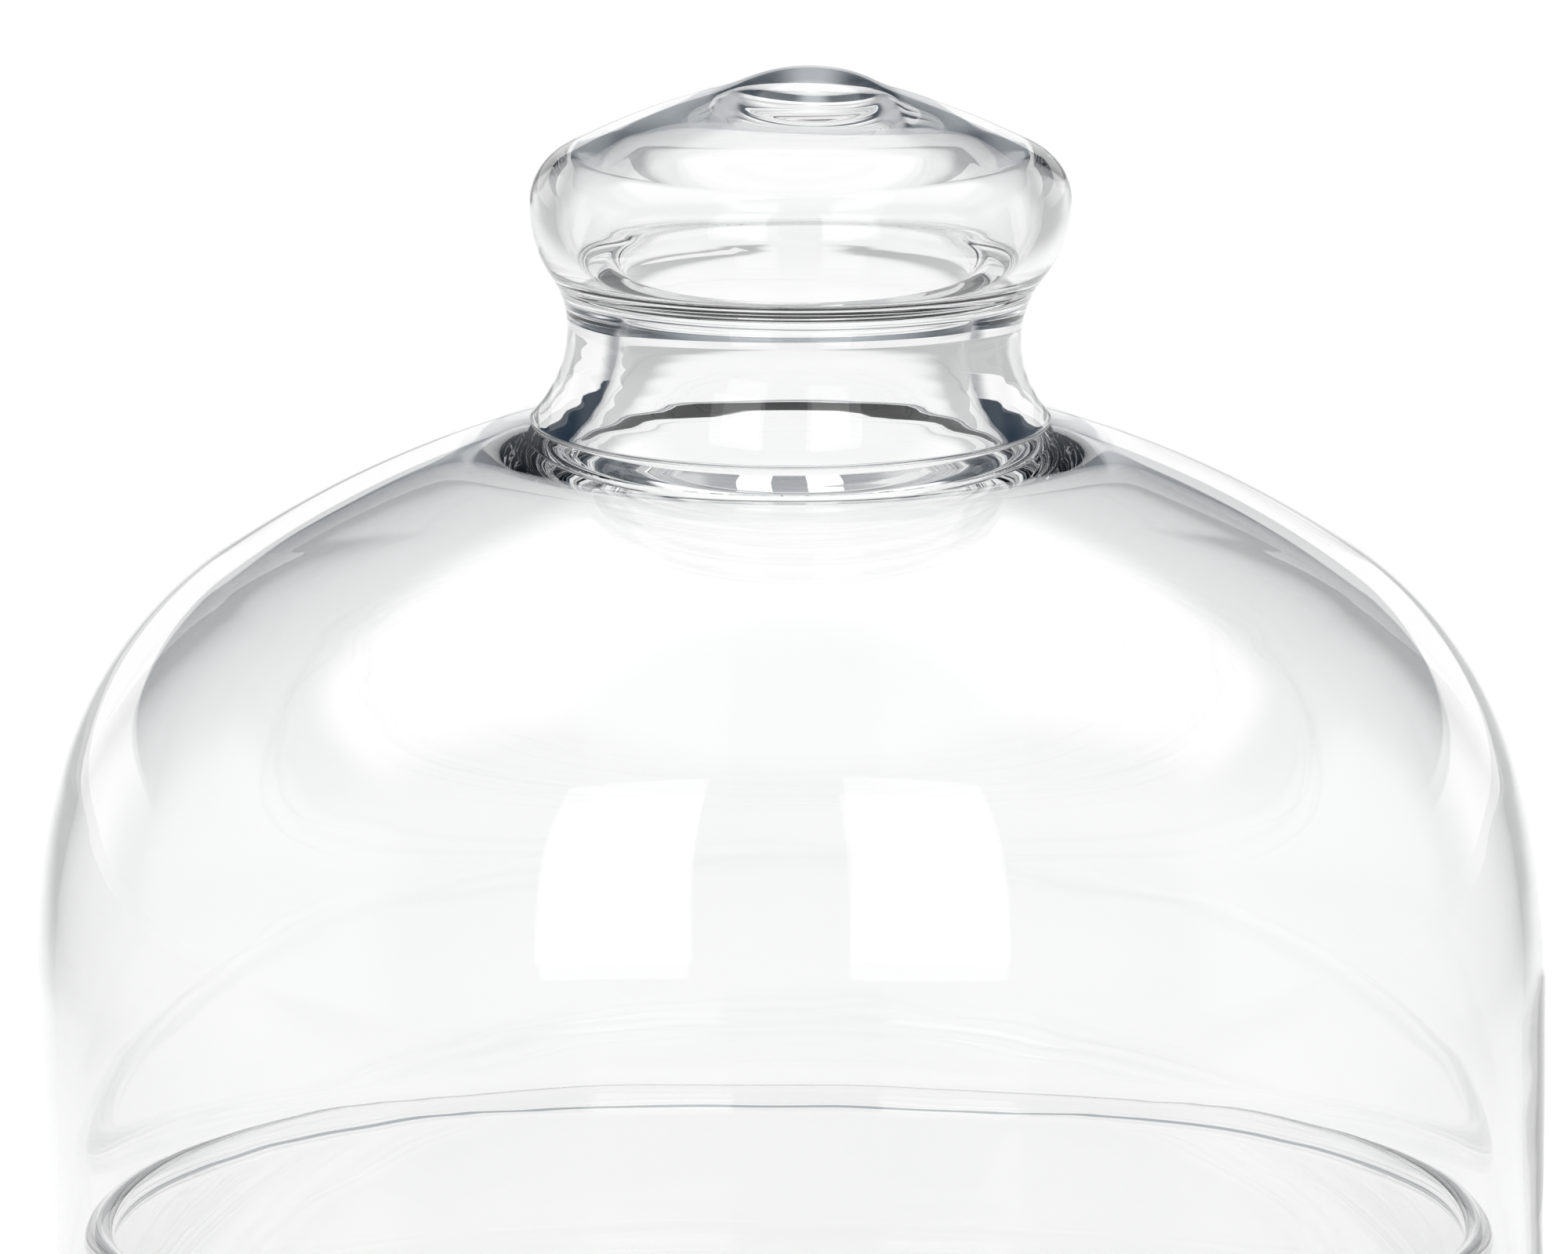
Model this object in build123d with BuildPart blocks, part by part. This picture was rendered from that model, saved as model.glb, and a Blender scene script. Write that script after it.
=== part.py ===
from build123d import *

import math
import os

# Bell jar dome: a blown glass bell with a hollow hand knob, standing on the ledge of a clear glass base
# whose upright collar keeps it centred. Millimetres, +Z up, origin under the middle of the base.

# ---------------------------------------------------------------- driving dimensions
# Base
foot_radius = 62.0
foot_width = 5.0
foot_height = 2.5
plate_thickness = 4.5
plate_radius = 96.0
collar_radius = 79.15
collar_wall = 2.8
collar_height = 23.8
bead_radius = 1.65

# Bell
dome_radius = 85.0
dome_wall = 2.3
crown_thickening = 1.0
side_height = 53.4
shoulder_arcs = ((81.4, 16.25), (42.7, 38.9), (116.7, 19.6))
lip_wall = 3.0
lip_height = 3.0
lip_round = 0.9
lip_blend_radius = 17.0

# Inside of the crown: an even wall, then a flatter stretch that ends in the lip of the throat
even_wall_sweep = 14.0
flattening_arc = 52.0
flattening_sweep = 11.5
throat_radius = 26.5
throat_lip_arc = 2.5
throat_slope = 45.0

# Hollow knob, outside
seam_radius = 28.9
crease_arc = 0.35
crease_overhang = 42.0
flare_arc = 14.2
waist_arc = 11.8
waist_sweep = 36.4
bulb_side_arc = 13.5
bulb_arc = 6.3
bulb_sweep = 61.7
cap_arc = 88.7
cap_sweep = 11.2
tip_hollow_arc = 24.7
tip_hollow_sweep = 8.4

# Hollow knob, inside: a narrower bore through the neck, then a cavity that follows the bulb
bore_radius = 19.4
bore_mouth_arc = 2.5
cavity_floor_slope = 5.0
cavity_corner_arc = 2.0
cavity_corner_slope = 55.0
knob_wall = 2.8
ceiling_corner_arc = 4.8
ceiling_slope = 23.0
ceiling_run = 5.5

# ---------------------------------------------------------------- derived places
ledge_height = foot_height + plate_thickness
shoulder_height = ledge_height + side_height
crown_heading = 90.0 + sum(sweep for radius, sweep in shoulder_arcs)
inner_shoulder_arcs = shoulder_arcs[:-1] + ((shoulder_arcs[-1][0], even_wall_sweep),)
throat_heading = 90.0 + sum(sweep for radius, sweep in inner_shoulder_arcs) + flattening_sweep
up = (0, 1)
outward = (1, 0)


def level_arc(line, heading):
    """The arc that carries a line on to the axis and arrives there level."""
    remaining = 180.0 - heading
    radius = (line @ 1).X / math.sin(math.radians(remaining))
    return JernArc(line @ 1, line % 1, radius, remaining)


def shoulder(side, arcs, inset):
    """The shoulder arcs that follow an upright side line, drawn inset from the outer face."""
    line = side
    for radius, sweep in arcs:
        line = JernArc(line @ 1, line % 1, radius - inset, sweep)
    return line


# ---------------------------------------------------------------- glass section of the bell and its knob
# One half-section runs from the mouth to the tip and back down the inside. The knob is a second gather of
# glass set on the crown of the bell, so the two pieces share this section and meet face to face at the seam.
with BuildSketch(Plane.XZ) as bell_section:
    with BuildLine():
        # Outside: mouth, upright side, shoulder, crown up to the seam
        mouth_outer = (dome_radius - lip_round, ledge_height)
        lip_outer = JernArc(mouth_outer, outward, lip_round, 90.0)
        side = Line(lip_outer @ 1, (dome_radius, shoulder_height))
        crown = shoulder(side, shoulder_arcs, 0.0)
        crown_rise = math.tan(math.radians(180.0 - crown_heading))
        seam_height = (crown @ 1).Y + ((crown @ 1).X - seam_radius) * crown_rise
        crown_edge = Line(crown @ 1, (seam_radius, seam_height))

        # Outside of the knob: tight crease, flare, waist, bulb, low cap and pointed tip
        crease = JernArc(crown_edge @ 1, outward, crease_arc, 90.0 + crease_overhang)
        flare = JernArc(crease @ 1, crease % 1, flare_arc, -crease_overhang)
        waist = JernArc(flare @ 1, flare % 1, waist_arc, -waist_sweep)
        bulb_side = JernArc(waist @ 1, waist % 1, bulb_side_arc, waist_sweep)
        bulb = JernArc(bulb_side @ 1, bulb_side % 1, bulb_arc, bulb_sweep)
        cap = JernArc(bulb @ 1, bulb % 1, cap_arc, cap_sweep)
        tip_hollow = JernArc(cap @ 1, cap % 1, tip_hollow_arc, -tip_hollow_sweep)
        tip = level_arc(tip_hollow, 90.0 + bulb_sweep + cap_sweep - tip_hollow_sweep)

        # Inside of the lip, which is thicker than the wall above it
        lip_radius = dome_radius - lip_wall
        lip_step = lip_wall - dome_wall
        lip_sweep = math.degrees(math.acos(1.0 - lip_step / 2.0 / lip_blend_radius))
        lip_land = Line(mouth_outer, (lip_radius + lip_round, ledge_height))
        lip_inner = JernArc(lip_land @ 1, lip_land % 1, lip_round, -90.0)
        lip_side = Line(lip_inner @ 1, (lip_radius, ledge_height + lip_height))
        lip_out = JernArc(lip_side @ 1, up, lip_blend_radius, -lip_sweep)
        lip_back = JernArc(lip_out @ 1, lip_out % 1, lip_blend_radius, lip_sweep)

        # Inside of the bell up to the lip of the throat
        inner_side = Line(lip_back @ 1, (dome_radius - dome_wall, shoulder_height - crown_thickening))
        inner_crown = shoulder(inner_side, inner_shoulder_arcs, dome_wall)
        flattening = JernArc(inner_crown @ 1, inner_crown % 1, flattening_arc, flattening_sweep)
        land_rise = ((flattening @ 1).X - throat_radius) * math.tan(math.radians(180.0 - throat_heading))
        throat_land = Line(flattening @ 1, (throat_radius, (flattening @ 1).Y + land_rise))
        lip_turn = throat_heading - 90.0 - throat_slope
        throat_lip = JernArc(throat_land @ 1, throat_land % 1, throat_lip_arc, -lip_turn)

        # The cavity's side runs parallel to the bulb, so its floor and the top of the bore follow from it
        cavity_side_arc = bulb_side_arc - knob_wall
        corner_angle = math.radians(cavity_corner_slope)
        floor_angle = math.radians(cavity_floor_slope)
        side_x = bulb_side.arc_center.X + cavity_side_arc * math.sin(corner_angle)
        side_y = bulb_side.arc_center.Y - cavity_side_arc * math.cos(corner_angle)
        floor_x = side_x - cavity_corner_arc * (math.sin(corner_angle) - math.sin(floor_angle))
        floor_y = side_y - cavity_corner_arc * (math.cos(floor_angle) - math.cos(corner_angle))
        mouth_x = bore_radius + bore_mouth_arc * (1.0 - math.sin(floor_angle))
        mouth_y = floor_y - (floor_x - mouth_x) * math.tan(floor_angle)
        bore_top = mouth_y - bore_mouth_arc * math.cos(floor_angle)

        # Inside of the knob: flare and bore through the neck, cavity floor, side and ceiling
        flare_share = 1.0 - math.cos(math.radians(throat_slope))
        bore_flare_arc = ((throat_lip @ 1).X - bore_radius) / flare_share
        bore_flare = JernArc(throat_lip @ 1, throat_lip % 1, bore_flare_arc, -throat_slope)
        bore = Line(bore_flare @ 1, (bore_radius, bore_top))
        bore_mouth = JernArc(bore @ 1, up, bore_mouth_arc, cavity_floor_slope - 90.0)
        cavity_floor = Line(bore_mouth @ 1, (floor_x, floor_y))
        corner_sweep = cavity_corner_slope - cavity_floor_slope
        cavity_corner = JernArc(cavity_floor @ 1, cavity_floor % 1, cavity_corner_arc, corner_sweep)
        side_sweep = 90.0 - cavity_corner_slope
        cavity_side = JernArc(cavity_corner @ 1, cavity_corner % 1, cavity_side_arc, side_sweep)
        ceiling_corner = JernArc(cavity_side @ 1, up, ceiling_corner_arc, 90.0 - ceiling_slope)
        ceiling = PolarLine(ceiling_corner @ 1, ceiling_run, 180.0 - ceiling_slope)
        ceiling_top = level_arc(ceiling, 180.0 - ceiling_slope)
        Line(ceiling_top @ 1, tip @ 1)
    make_face()

seam_plane = Plane.XY.offset(seam_height)

# ---------------------------------------------------------------- dome_shell: bell from lip to crown
with BuildPart() as dome_shell:
    add(bell_section.sketch)
    revolve(axis=Axis.Z)
    split(bisect_by=seam_plane, keep=Keep.BOTTOM)

# ---------------------------------------------------------------- hollow_knob: blown hand knob
with BuildPart() as hollow_knob:
    add(bell_section.sketch)
    revolve(axis=Axis.Z)
    split(bisect_by=seam_plane, keep=Keep.TOP)

# ---------------------------------------------------------------- base_dish: pressed base, foot and collar
foot_inner = foot_radius - foot_width
collar_inner = collar_radius - collar_wall
bead_height = ledge_height + collar_height
edge_rounds = (
    (foot_radius, 0.0, 0.8),
    (foot_inner, 0.0, 0.8),
    (foot_radius, foot_height, 1.5),
    (foot_inner, foot_height, 1.5),
    (plate_radius, foot_height, 2.1),
    (plate_radius, ledge_height, 2.1),
    (collar_radius, ledge_height, 1.2),
    (collar_inner, ledge_height, 5.0),
)

with BuildPart() as base_dish:
    with BuildSketch(Plane.XZ) as dish_section:
        with BuildLine():
            Polyline(
                (0.0, foot_height),
                (foot_inner, foot_height),
                (foot_inner, 0.0),
                (foot_radius, 0.0),
                (foot_radius, foot_height),
                (plate_radius, foot_height),
                (plate_radius, ledge_height),
                (collar_radius, ledge_height),
                (collar_radius, bead_height),
                (collar_inner, bead_height),
                (collar_inner, ledge_height),
                (0.0, ledge_height),
                close=True,
            )
        make_face()
        for r, z, rounding in edge_rounds:
            fillet(dish_section.vertices().sort_by_distance((r, z))[0], rounding)
        # The collar ends in a fire-polished bead a little thicker than its wall
        with Locations((collar_radius - collar_wall / 2.0, bead_height)):
            Circle(bead_radius)
    revolve(axis=Axis.Z)

# ---------------------------------------------------------------- export
os.makedirs("parts", exist_ok=True)
dome_shell.part.label = "dome_shell"
hollow_knob.part.label = "hollow_knob"
base_dish.part.label = "base_dish"
export_step(dome_shell.part, "parts/dome_shell.step")
export_step(hollow_knob.part, "parts/hollow_knob.step")
export_step(base_dish.part, "parts/base_dish.step")
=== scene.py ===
import math

import bmesh
import bpy
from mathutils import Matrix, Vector, noise


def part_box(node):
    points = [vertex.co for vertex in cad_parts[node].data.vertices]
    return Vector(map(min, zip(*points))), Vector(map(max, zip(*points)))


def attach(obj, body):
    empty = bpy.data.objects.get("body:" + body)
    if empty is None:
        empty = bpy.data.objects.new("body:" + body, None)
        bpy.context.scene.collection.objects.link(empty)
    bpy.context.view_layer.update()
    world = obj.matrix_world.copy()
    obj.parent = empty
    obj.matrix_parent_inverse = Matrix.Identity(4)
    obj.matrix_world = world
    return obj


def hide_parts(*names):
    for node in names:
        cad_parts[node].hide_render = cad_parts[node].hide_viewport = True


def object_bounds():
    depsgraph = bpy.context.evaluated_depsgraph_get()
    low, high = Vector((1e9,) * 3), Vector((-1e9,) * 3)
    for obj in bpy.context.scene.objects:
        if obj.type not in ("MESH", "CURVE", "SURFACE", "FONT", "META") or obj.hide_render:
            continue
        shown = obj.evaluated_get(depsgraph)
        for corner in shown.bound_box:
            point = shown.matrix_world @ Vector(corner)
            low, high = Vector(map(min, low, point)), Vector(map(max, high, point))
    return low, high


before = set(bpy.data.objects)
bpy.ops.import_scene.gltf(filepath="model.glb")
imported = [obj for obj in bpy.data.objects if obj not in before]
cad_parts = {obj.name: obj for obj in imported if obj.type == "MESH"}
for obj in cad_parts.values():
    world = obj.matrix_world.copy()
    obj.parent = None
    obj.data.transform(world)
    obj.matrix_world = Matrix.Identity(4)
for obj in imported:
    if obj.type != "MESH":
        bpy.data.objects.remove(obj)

# A blown glass bell jar standing on its glass base. Two pieces of clear glass are made here: the bell with
# its hollow knob, which are one continuous skin of glass, and the base. Metres, in the CAD's frame.

cad_low, cad_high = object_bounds()

MM = 0.001

# ---------------------------------------------------------------- places taken from the frame
bell_low, bell_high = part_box("dome_shell")
knob_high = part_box("hollow_knob")[1]
base_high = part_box("base_dish")[1]
bell_radius = bell_high.x
ledge_height = bell_low.z
seam_height = bell_high.z
tip_height = knob_high.z
plate_radius = base_high.x
bead_top = base_high.z

# ---------------------------------------------------------------- driving dimensions of the bell
side_height = 53.4 * MM
shoulder_arcs = ((81.4 * MM, 16.25), (42.7 * MM, 38.9), (116.7 * MM, 19.6))
lip_wall = 3.0 * MM
lip_height = 3.0 * MM
lip_round = 0.9 * MM
lip_blend_radius = 17.0 * MM
wall = 2.3 * MM

# ---------------------------------------------------------------- inside of the crown and the throat
# An even wall over the shoulder, then a flatter stretch that ends in the rounded lip of the throat
crown_thickening = 1.0 * MM
even_wall_sweep = 14.0
flattening_arc = 52.0 * MM
flattening_sweep = 11.5
throat_radius = 26.5 * MM
throat_lip = 2.5 * MM
throat_slope = 45.0

# ---------------------------------------------------------------- outside of the knob
seam_radius = 28.9 * MM
crease_arc = 0.35 * MM
crease_overhang = 42.0
flare_arc = 14.2 * MM
waist_arc = 11.8 * MM
waist_sweep = 36.4
bulb_side_arc = 13.5 * MM
bulb_arc = 6.3 * MM
bulb_sweep = 61.7
cap_arc = 88.7 * MM
cap_sweep = 11.2
tip_hollow_arc = 24.7 * MM
tip_hollow_sweep = 8.4

# ---------------------------------------------------------------- inside of the knob
# A narrower bore through the neck's thick glass, then a cavity that follows the bulb
bore_radius = 19.4 * MM
bore_mouth = 2.5 * MM
cavity_floor_slope = 5.0
cavity_corner = 2.0 * MM
cavity_corner_slope = 55.0
knob_wall = 2.8 * MM
ceiling_corner = 4.8 * MM
ceiling_slope = 23.0
ceiling_run = 5.5 * MM

# ---------------------------------------------------------------- driving dimensions of the base
foot_radius = 62.0 * MM
foot_width = 5.0 * MM
foot_height = 2.5 * MM
collar_radius = 79.15 * MM
collar_wall = 2.8 * MM
bead_radius = 1.65 * MM
foot_edge_round = 0.8 * MM
foot_root_round = 1.5 * MM
plate_round = 2.1 * MM
collar_root_round = 1.2 * MM
well_root_round = 5.0 * MM

# ---------------------------------------------------------------- how finely the glass is turned
TURNS = 288
CHORD = 1.1 * MM
NECK_CHORD = 0.45 * MM


class Outline:
    """A section drawn as straight runs and tangent arcs: points of (radius, height)."""

    def __init__(self, start, heading):
        self.points = [start]
        self.heading = heading
        self.chord = CHORD

    def line_to(self, radius, height):
        x, z = self.points[-1]
        steps = max(1, round(math.hypot(radius - x, height - z) / self.chord))
        for k in range(1, steps + 1):
            self.points.append((x + (radius - x) * k / steps, z + (height - z) * k / steps))
        return self

    def run(self, length):
        x, z = self.points[-1]
        a = math.radians(self.heading)
        return self.line_to(x + length * math.cos(a), z + length * math.sin(a))

    def arc(self, radius, sweep):
        """Turns left for a positive sweep and right for a negative one, in degrees."""
        x, z = self.points[-1]
        side = math.copysign(1.0, sweep)
        start = math.radians(self.heading)
        centre = (x - side * radius * math.sin(start), z + side * radius * math.cos(start))
        steps = max(4, round(abs(sweep) / 5.0), round(radius * math.radians(abs(sweep)) / self.chord))
        for k in range(1, steps + 1):
            a = start + math.radians(sweep) * k / steps
            away = (side * radius * math.sin(a), side * radius * math.cos(a))
            self.points.append((centre[0] + away[0], centre[1] - away[1]))
        self.heading += sweep
        return self

    def level_to_axis(self):
        """Carries the outline on to the axis, where it arrives level."""
        remaining = 180.0 - self.heading
        return self.arc(self.points[-1][0] / math.sin(math.radians(remaining)), remaining)


def bell_outside():
    """Mouth, upright side, shoulder, crown, crease, flare, waist, bulb, low cap and tip."""
    line = Outline((bell_radius - lip_round, ledge_height), 0.0)
    line.arc(lip_round, 90.0).line_to(bell_radius, ledge_height + side_height)
    for radius, sweep in shoulder_arcs:
        line.arc(radius, sweep)
    line.run((line.points[-1][0] - seam_radius) / math.cos(math.radians(180.0 - line.heading)))
    line.heading = 0.0
    line.chord = NECK_CHORD
    line.arc(crease_arc, 90.0 + crease_overhang).arc(flare_arc, -crease_overhang)
    line.arc(waist_arc, -waist_sweep).arc(bulb_side_arc, waist_sweep)
    widest = line.points[-1]
    line.arc(bulb_arc, bulb_sweep).arc(cap_arc, cap_sweep).arc(tip_hollow_arc, -tip_hollow_sweep)
    line.level_to_axis()
    return line.points, widest


def bell_inside(widest):
    """Mouth, thick lip, upright side, shoulder, crown, throat, bore, cavity and ceiling."""
    line = Outline((bell_radius - lip_wall + lip_round, ledge_height), 180.0)
    line.arc(lip_round, -90.0).line_to(bell_radius - lip_wall, ledge_height + lip_height)
    blend = math.degrees(math.acos(1.0 - (lip_wall - wall) / 2.0 / lip_blend_radius))
    line.arc(lip_blend_radius, -blend).arc(lip_blend_radius, blend)
    line.line_to(bell_radius - wall, ledge_height + side_height - crown_thickening)
    for radius, sweep in shoulder_arcs[:-1] + ((shoulder_arcs[-1][0], even_wall_sweep),):
        line.arc(radius - wall, sweep)
    line.arc(flattening_arc, flattening_sweep)
    line.run((line.points[-1][0] - throat_radius) / math.cos(math.radians(180.0 - line.heading)))
    line.chord = NECK_CHORD
    line.arc(throat_lip, 90.0 + throat_slope - line.heading)
    flare = (line.points[-1][0] - bore_radius) / (1.0 - math.cos(math.radians(throat_slope)))
    line.arc(flare, -throat_slope)

    # The cavity's side runs parallel to the bulb, so its floor and the top of the bore follow from it
    side_arc = bulb_side_arc - knob_wall
    corner = math.radians(cavity_corner_slope)
    slope = math.radians(cavity_floor_slope)
    side_x = widest[0] - bulb_side_arc + side_arc * math.sin(corner)
    side_z = widest[1] - side_arc * math.cos(corner)
    floor_x = side_x - cavity_corner * (math.sin(corner) - math.sin(slope))
    floor_z = side_z - cavity_corner * (math.cos(slope) - math.cos(corner))
    mouth_x = bore_radius + bore_mouth * (1.0 - math.sin(slope))
    mouth_z = floor_z - (floor_x - mouth_x) * math.tan(slope)
    line.line_to(bore_radius, mouth_z - bore_mouth * math.cos(slope))
    line.arc(bore_mouth, cavity_floor_slope - 90.0).line_to(floor_x, floor_z)
    line.arc(cavity_corner, cavity_corner_slope - cavity_floor_slope)
    line.arc(side_arc, 90.0 - cavity_corner_slope)
    line.arc(ceiling_corner, 90.0 - ceiling_slope).run(ceiling_run).level_to_axis()
    return line.points


def base_section():
    """Underside with its foot, plate edge, ledge, collar with its bead, and display floor."""
    foot_inner = foot_radius - foot_width
    collar_inner = collar_radius - collar_wall
    line = Outline((0.0, foot_height), 0.0)
    line.line_to(foot_inner - foot_root_round, foot_height)
    line.arc(foot_root_round, -90.0).line_to(foot_inner, foot_edge_round)
    line.arc(foot_edge_round, 90.0).line_to(foot_radius - foot_edge_round, 0.0)
    line.arc(foot_edge_round, 90.0).line_to(foot_radius, foot_height - foot_root_round)
    line.arc(foot_root_round, -90.0).line_to(plate_radius - plate_round, foot_height)
    line.arc(plate_round, 90.0).line_to(plate_radius, ledge_height - plate_round)
    line.arc(plate_round, 90.0).line_to(collar_radius + collar_root_round, ledge_height)
    line.arc(collar_root_round, -90.0)
    half = math.degrees(math.asin(collar_wall / 2.0 / bead_radius))
    neck = bead_top - bead_radius - bead_radius * math.cos(math.radians(half))
    line.line_to(collar_radius, neck)
    line.heading = half
    line.arc(bead_radius, 360.0 - 2.0 * half)
    line.heading = 270.0
    line.line_to(collar_inner, ledge_height + well_root_round)
    line.arc(well_root_round, -90.0).line_to(0.0, ledge_height)
    return line.points


# ---------------------------------------------------------------- the hand of the glassblower
lean_to_right = 1.25 * MM
tip_offset = 0.9 * MM
ring_pitch = 2.1 * MM
ring_depth = 0.008 * MM
ring_wander = 0.3 * MM
wall_wave = 0.16 * MM
fine_wave = 0.03 * MM
knob_sag = 0.12 * MM
bead_wave = 0.3 * MM
bead_lift = 0.35 * MM
least_radius = 4.0 * MM


def ease(value, start, end):
    """A smooth step from 0 at start to 1 at end."""
    t = min(1.0, max(0.0, (value - start) / (end - start)))
    return t * t * (3.0 - 2.0 * t)


def hand_blown(radius, height, angle, skin):
    """Where a point of the true bell comes to lie in the blown one. skin is 0 outside and 1 inside."""
    x = radius * math.cos(angle)
    y = radius * math.sin(angle)
    seat = ease(height, ledge_height + 4.0 * MM, ledge_height + 20.0 * MM)
    knob = ease(height, seam_height - 3.0 * MM, tip_height - 12.0 * MM)
    tip = ease(height, tip_height - 6.0 * MM, tip_height)
    neck = ease(height, seam_height, seam_height + 1.5 * MM)
    neck -= ease(height, seam_height + 7.0 * MM, seam_height + 13.0 * MM)
    near_axis = ease(radius, 0.0, 8.0 * MM)
    place = Vector((x, y, height * 0.7 + skin * 0.37)) * 18.0
    wave = noise.noise(place) * wall_wave * seat * near_axis
    fine = noise.noise(place * 3.1 + Vector((7.0, 3.0, 1.0))) * fine_wave * seat * near_axis
    ring_turn = (height + ring_wander * math.sin(angle + 1.0)) * 2.0 * math.pi / ring_pitch
    rings = math.sin(ring_turn) * ring_depth * neck * (1.0 - skin)
    grow = 1.0 + (wave + fine + rings) / max(radius, least_radius)
    x = x * grow + lean_to_right * knob + tip_offset * tip * (1.0 - skin)
    z = height + noise.noise(place * 0.8 + Vector((2.0, 9.0, 4.0))) * knob_sag * knob
    return x, y * grow, z


def pressed(radius, height, angle, skin):
    """The base, with the slow waves that fire polishing leaves on the collar and its bead."""
    rise = ease(height, ledge_height + 2.0 * MM, bead_top)
    place = Vector((radius * math.cos(angle), radius * math.sin(angle), height)) * 16.0
    grow = 1.0 + noise.noise(place) * bead_wave * rise / max(radius, least_radius)
    lift = noise.noise(place * 0.7 + Vector((5.0, 1.0, 8.0))) * bead_lift * rise
    return radius * math.cos(angle) * grow, radius * math.sin(angle) * grow, height + lift


def lathe(name, rings, place, closed):
    """Turns a section of (radius, height, skin) round the Z axis into one closed skin of quads."""
    mesh = bmesh.new()
    loops = []
    for radius, height, skin in rings:
        if radius < 0.01 * MM:
            loops.append([mesh.verts.new(place(0.0, height, 0.0, skin))])
            continue
        angles = (2.0 * math.pi * k / TURNS for k in range(TURNS))
        loops.append([mesh.verts.new(place(radius, height, a, skin)) for a in angles])
    pairs = list(zip(loops, loops[1:] + loops[:1])) if closed else list(zip(loops, loops[1:]))
    for low, high in pairs:
        for k in range(TURNS):
            n = (k + 1) % TURNS
            if len(low) == 1 and len(high) == 1:
                break
            if len(low) == 1:
                mesh.faces.new((low[0], high[n], high[k]))
            elif len(high) == 1:
                mesh.faces.new((low[k], low[n], high[0]))
            else:
                mesh.faces.new((low[k], low[n], high[n], high[k]))
    bmesh.ops.recalc_face_normals(mesh, faces=mesh.faces)
    for face in mesh.faces:
        face.smooth = True
    data = bpy.data.meshes.new(name)
    mesh.to_mesh(data)
    mesh.free()
    piece = bpy.data.objects.new(name, data)
    bpy.context.scene.collection.objects.link(piece)
    return piece


# ---------------------------------------------------------------- glass
skin_ripple = 0.02 * MM


def glass_material(name):
    """Clear soda glass: cords of slightly different glass, faint wipe marks and a rippled skin."""
    material = bpy.data.materials.new(name)
    material.use_nodes = True
    tree = material.node_tree
    tree.nodes.clear()
    output = tree.nodes.new("ShaderNodeOutputMaterial")
    shader = tree.nodes.new("ShaderNodeBsdfPrincipled")
    shader.inputs["Transmission Weight"].default_value = 1.0
    shader.inputs["IOR"].default_value = 1.52
    tree.links.new(shader.outputs["BSDF"], output.inputs["Surface"])

    place = tree.nodes.new("ShaderNodeTexCoord")
    stretch = tree.nodes.new("ShaderNodeMapping")
    stretch.inputs["Scale"].default_value = (1.0, 1.0, 2.6)
    tree.links.new(place.outputs["Object"], stretch.inputs["Vector"])

    cords = tree.nodes.new("ShaderNodeTexNoise")
    cords.inputs["Scale"].default_value = 22.0
    cords.inputs["Detail"].default_value = 3.0
    cords.inputs["Distortion"].default_value = 0.6
    tree.links.new(stretch.outputs["Vector"], cords.inputs["Vector"])
    tint = tree.nodes.new("ShaderNodeValToRGB")
    tint.color_ramp.elements[0].position = 0.35
    tint.color_ramp.elements[0].color = (0.984, 0.985, 0.982, 1.0)
    tint.color_ramp.elements[1].position = 0.65
    tint.color_ramp.elements[1].color = (0.993, 0.993, 0.990, 1.0)
    tree.links.new(cords.outputs["Fac"], tint.inputs["Fac"])
    tree.links.new(tint.outputs["Color"], shader.inputs["Base Color"])

    wiped = tree.nodes.new("ShaderNodeTexNoise")
    wiped.inputs["Scale"].default_value = 60.0
    wiped.inputs["Detail"].default_value = 5.0
    tree.links.new(place.outputs["Object"], wiped.inputs["Vector"])
    haze = tree.nodes.new("ShaderNodeMapRange")
    haze.inputs["From Min"].default_value = 0.55
    haze.inputs["From Max"].default_value = 0.85
    haze.inputs["To Max"].default_value = 0.03
    tree.links.new(wiped.outputs["Fac"], haze.inputs["Value"])
    tree.links.new(haze.outputs["Result"], shader.inputs["Roughness"])

    skin = tree.nodes.new("ShaderNodeTexNoise")
    skin.inputs["Scale"].default_value = 45.0
    skin.inputs["Detail"].default_value = 1.0
    tree.links.new(stretch.outputs["Vector"], skin.inputs["Vector"])
    bump = tree.nodes.new("ShaderNodeBump")
    bump.inputs["Strength"].default_value = 1.0
    bump.inputs["Distance"].default_value = skin_ripple
    tree.links.new(skin.outputs["Fac"], bump.inputs["Height"])
    tree.links.new(bump.outputs["Normal"], shader.inputs["Normal"])
    return material


outer_line, widest_point = bell_outside()
outside = [(r, z, 0.0) for r, z in outer_line]
inside = [(r, z, 1.0) for r, z in bell_inside(widest_point)]
bell_glass = lathe("bell_glass", outside + inside[::-1], hand_blown, closed=True)
bell_glass.data.materials.append(glass_material("blown_glass"))
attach(bell_glass, "dome")
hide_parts("dome_shell", "hollow_knob")

base_glass = lathe("base_glass", [(r, z, 0.0) for r, z in base_section()], pressed, closed=False)
base_glass.data.materials.append(glass_material("pressed_glass"))
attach(base_glass, "base")
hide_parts("base_dish")


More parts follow.
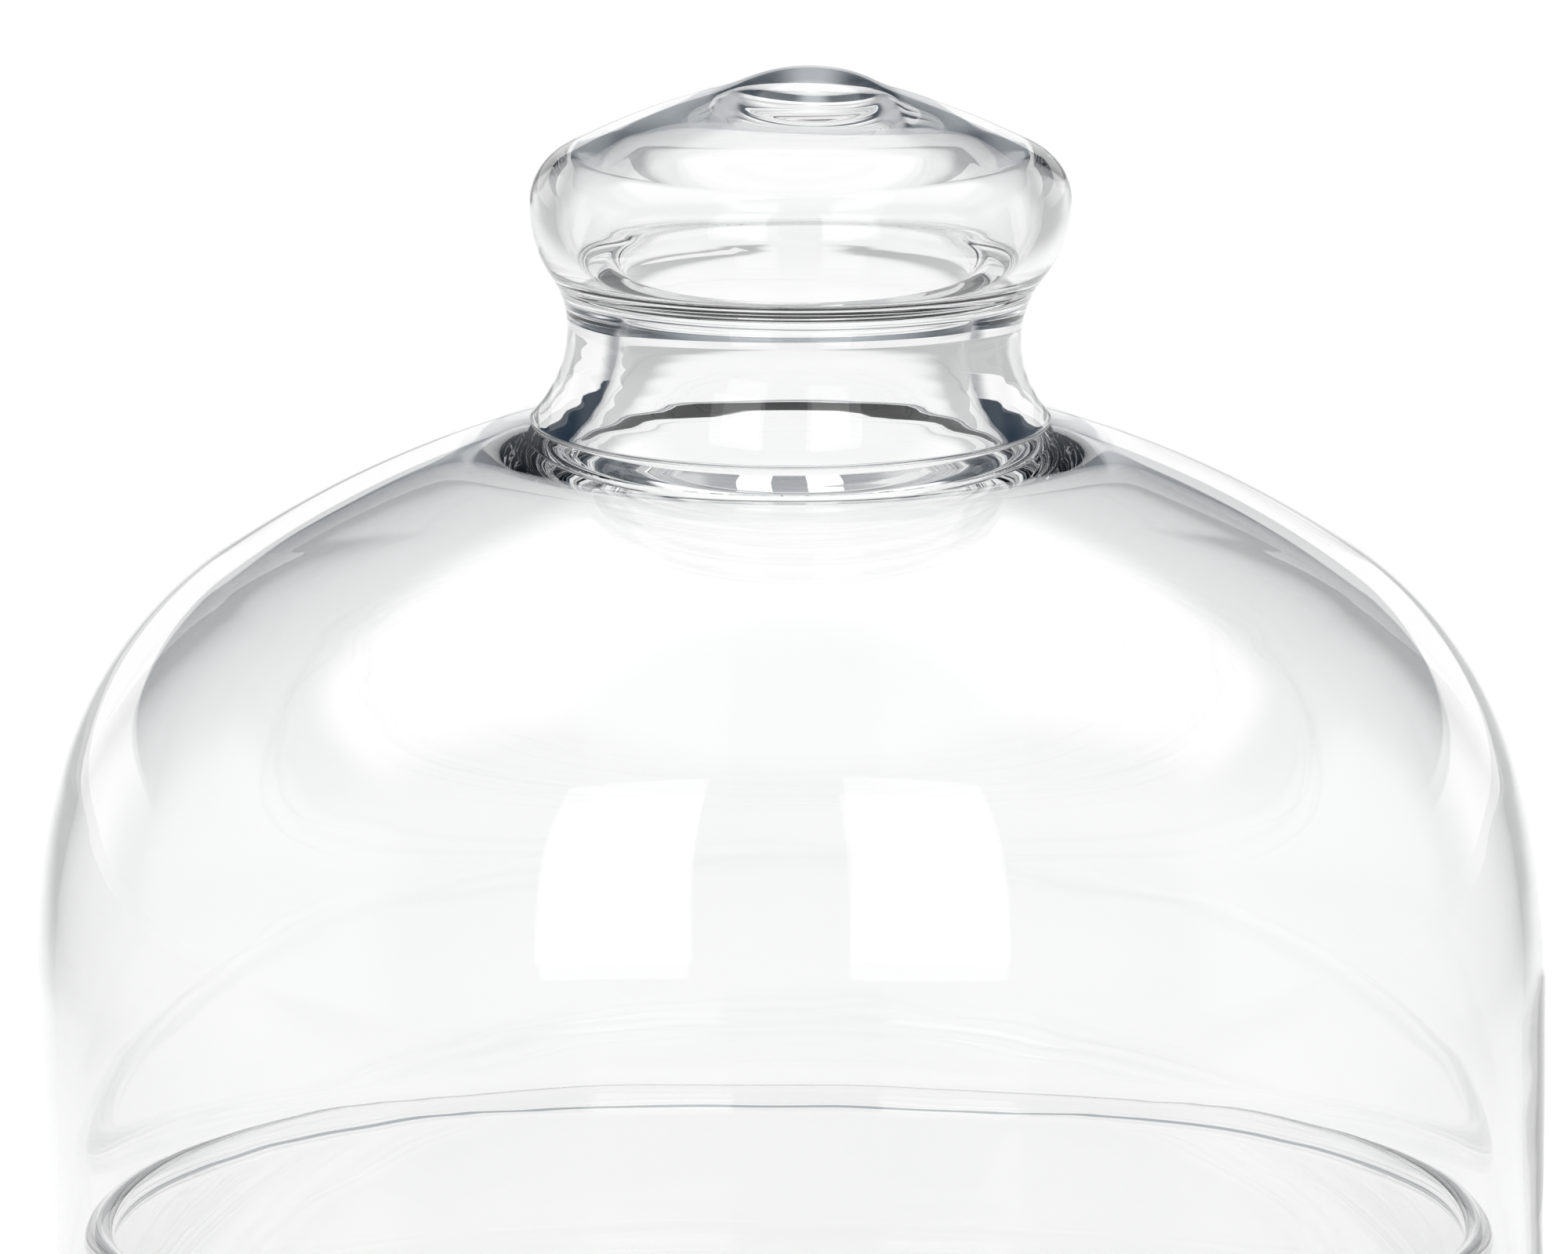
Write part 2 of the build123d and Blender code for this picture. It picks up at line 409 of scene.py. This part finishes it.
# ---------------------------------------------------------------- floor
def pale_floor():
    """A plain white table top with painted light: its emission glows softly round the object and fades out
    in front and to the sides.
    """
    radius = 12.0
    bpy.ops.mesh.primitive_circle_add(vertices=96, radius=radius, fill_type="NGON")
    floor = bpy.context.object
    floor.name = "pale_floor"
    floor.location.z = cad_low.z
    material = bpy.data.materials.new("pale_floor")
    material.use_nodes = True
    tree = material.node_tree
    shader = tree.nodes["Principled BSDF"]
    shader.inputs["Roughness"].default_value = 0.9
    shader.inputs["Specular IOR Level"].default_value = 0.2
    shader.inputs["Emission Color"].default_value = (1.0, 1.0, 1.0, 1.0)
    place = tree.nodes.new("ShaderNodeNewGeometry")
    parts = tree.nodes.new("ShaderNodeSeparateXYZ")
    tree.links.new(place.outputs["Position"], parts.inputs["Vector"])
    aside = tree.nodes.new("ShaderNodeMath")
    aside.operation = "ABSOLUTE"
    tree.links.new(parts.outputs["X"], aside.inputs[0])

    def fade(value, start, end, first, last):
        node = tree.nodes.new("ShaderNodeMapRange")
        node.interpolation_type = "SMOOTHSTEP"
        tree.links.new(value, node.inputs["Value"])
        for name, number in (("From Min", start), ("From Max", end), ("To Min", first), ("To Max", last)):
            node.inputs[name].default_value = number
        return node.outputs["Result"]

    # Painted light: the floor's emission is strong behind and round the object and weak in front and to the
    # sides.
    painted_floor_glow = tree.nodes.new("ShaderNodeMath")
    painted_floor_glow.operation = "MULTIPLY"
    tree.links.new(fade(parts.outputs["Y"], -0.5, -0.05, 0.22, 0.85), painted_floor_glow.inputs[0])
    tree.links.new(fade(aside.outputs["Value"], 0.13, 0.34, 1.0, 0.45), painted_floor_glow.inputs[1])
    tree.links.new(painted_floor_glow.outputs["Value"], shader.inputs["Emission Strength"])
    # Paired with the painted glow: the base colour is a little lighter in front than behind.
    tree.links.new(fade(parts.outputs["Y"], -0.5, -0.05, 0.3, 0.25), shader.inputs["Base Color"])
    floor.data.materials.append(material)


pale_floor()


# ---------------------------------------------------------------- studio
# Each surface of the studio begins and ends in a soft edge, given here as (start, end) in degrees:
# elevations above the horizon, and bearings from the camera's side, at 0, round to straight behind
# the object, at 180
horizon = (-1.0, 0.0)
sweep_top = (10.2, 10.8)
side_top = (26.0, 34.0)
panel_foot = (38.0, 44.0)
ceiling_foot = (66.0, 74.0)
side_start = (60.0, 75.0)
side_end = (118.0, 132.0)
room_corner = (80.0, 100.0)
sweep_start = (120.0, 140.0)
back_wall_start = (166.0, 178.0)

room_front = (0.3, 0.31, 0.33, 1.0)
room_back = (0.02, 0.035, 0.055, 1.0)
back_wall = (0.42, 0.445, 0.47, 1.0)
side_white = (0.6, 0.615, 0.63, 1.0)
sweep_white = (1.0, 1.0, 1.0, 1.0)
panel_white = (1.2, 1.2, 1.2, 1.0)
ceiling_white = (0.75, 0.78, 0.8, 1.0)


def studio_world():
    """A white sweep low down behind the object, bright panels above it, and a dim room elsewhere."""
    world = bpy.data.worlds.new("studio")
    bpy.context.scene.world = world
    world.use_nodes = True
    tree = world.node_tree
    tree.nodes.clear()
    output = tree.nodes.new("ShaderNodeOutputWorld")
    light = tree.nodes.new("ShaderNodeBackground")
    tree.links.new(light.outputs["Background"], output.inputs["Surface"])
    direction = tree.nodes.new("ShaderNodeTexCoord")
    parts = tree.nodes.new("ShaderNodeSeparateXYZ")
    tree.links.new(direction.outputs["Generated"], parts.inputs["Vector"])

    def math_node(operation, *values):
        node = tree.nodes.new("ShaderNodeMath")
        node.operation = operation
        for socket, value in zip(node.inputs, values):
            if isinstance(value, (int, float)):
                socket.default_value = value
            else:
                tree.links.new(value, socket)
        return node.outputs["Value"]

    def rising(value, start, end):
        node = tree.nodes.new("ShaderNodeMapRange")
        node.interpolation_type = "SMOOTHSTEP"
        tree.links.new(value, node.inputs["Value"])
        node.inputs["From Min"].default_value = start
        node.inputs["From Max"].default_value = end
        return node.outputs["Result"]

    def over(share, under, colour):
        node = tree.nodes.new("ShaderNodeMix")
        node.data_type = "RGBA"
        tree.links.new(share, node.inputs["Factor"])
        if isinstance(under, tuple):
            node.inputs[6].default_value = under
        else:
            tree.links.new(under, node.inputs[6])
        node.inputs[7].default_value = colour
        return node.outputs[2]

    elevation = math_node("DEGREES", math_node("ARCSINE", parts.outputs["Z"]))
    sweep = math_node("ARCTAN2", parts.outputs["X"], math_node("MULTIPLY", parts.outputs["Y"], -1.0))
    bearing = math_node("ABSOLUTE", math_node("DEGREES", sweep))
    low = math_node("SUBTRACT", 1.0, rising(elevation, *sweep_top))
    low_side = math_node("SUBTRACT", 1.0, rising(elevation, *side_top))
    below = math_node("SUBTRACT", 1.0, rising(elevation, *horizon))
    behind = rising(bearing, *room_corner)
    beside = math_node("SUBTRACT", rising(bearing, *side_start), rising(bearing, *side_end))
    colour = over(behind, room_front, room_back)
    colour = over(rising(bearing, *back_wall_start), colour, back_wall)
    colour = over(math_node("MULTIPLY", beside, low_side), colour, side_white)
    colour = over(math_node("MULTIPLY", rising(bearing, *sweep_start), low), colour, sweep_white)
    colour = over(math_node("MULTIPLY", behind, rising(elevation, *panel_foot)), colour, panel_white)
    colour = over(rising(elevation, *ceiling_foot), colour, ceiling_white)
    colour = over(below, colour, sweep_white)
    tree.links.new(colour, light.inputs["Color"])


studio_world()


def softbox(name, middle, width):
    """A tall softbox in front of the object, upright edges parallel, leaning forward over it."""
    radiance = 1.3
    foot = Vector((middle, -1.6, 0.33))
    top = Vector((middle, -1.12, 2.12))
    data = bpy.data.lights.new(name, "AREA")
    data.shape = "RECTANGLE"
    data.size = width
    data.size_y = (top - foot).length
    data.energy = radiance * math.pi * data.size * data.size_y
    lamp = bpy.data.objects.new(name, data)
    bpy.context.scene.collection.objects.link(lamp)
    lamp.location = (foot + top) / 2.0 + Vector((0.0, 0.0, tip_height * 0.6))
    lamp.rotation_euler.x = math.atan2(top.z - foot.z, top.y - foot.y)


softbox("softbox_left", -0.862, 0.867)
softbox("softbox_right", 0.663, 0.79)


# ---------------------------------------------------------------- camera
def photo_camera():
    """A long lens a little above the crown, framed on the knob and the bell down to the collar's bead."""
    elevation = math.radians(11.0)
    distance = 6.0
    view_width = 176.2 * MM
    aim_height = 99.6 * MM
    target = Vector((-0.7 * MM, 0.0, aim_height))
    camera = bpy.data.objects.new("camera", bpy.data.cameras.new("camera"))
    bpy.context.scene.collection.objects.link(camera)
    bpy.context.scene.camera = camera
    back = Vector((0.0, -math.cos(elevation), math.sin(elevation)))
    camera.location = target + back * distance
    camera.rotation_mode = "QUATERNION"
    camera.rotation_quaternion = (-back).to_track_quat("-Z", "Y")
    camera.data.sensor_width = 36.0
    camera.data.lens = camera.data.sensor_width * distance / view_width
    camera.data.clip_start = 0.1
    camera.data.clip_end = 60.0


photo_camera()

scene = bpy.context.scene
scene.cycles.max_bounces = 32
scene.cycles.transmission_bounces = 32
scene.cycles.glossy_bounces = 16
scene.view_settings.view_transform = "Standard"
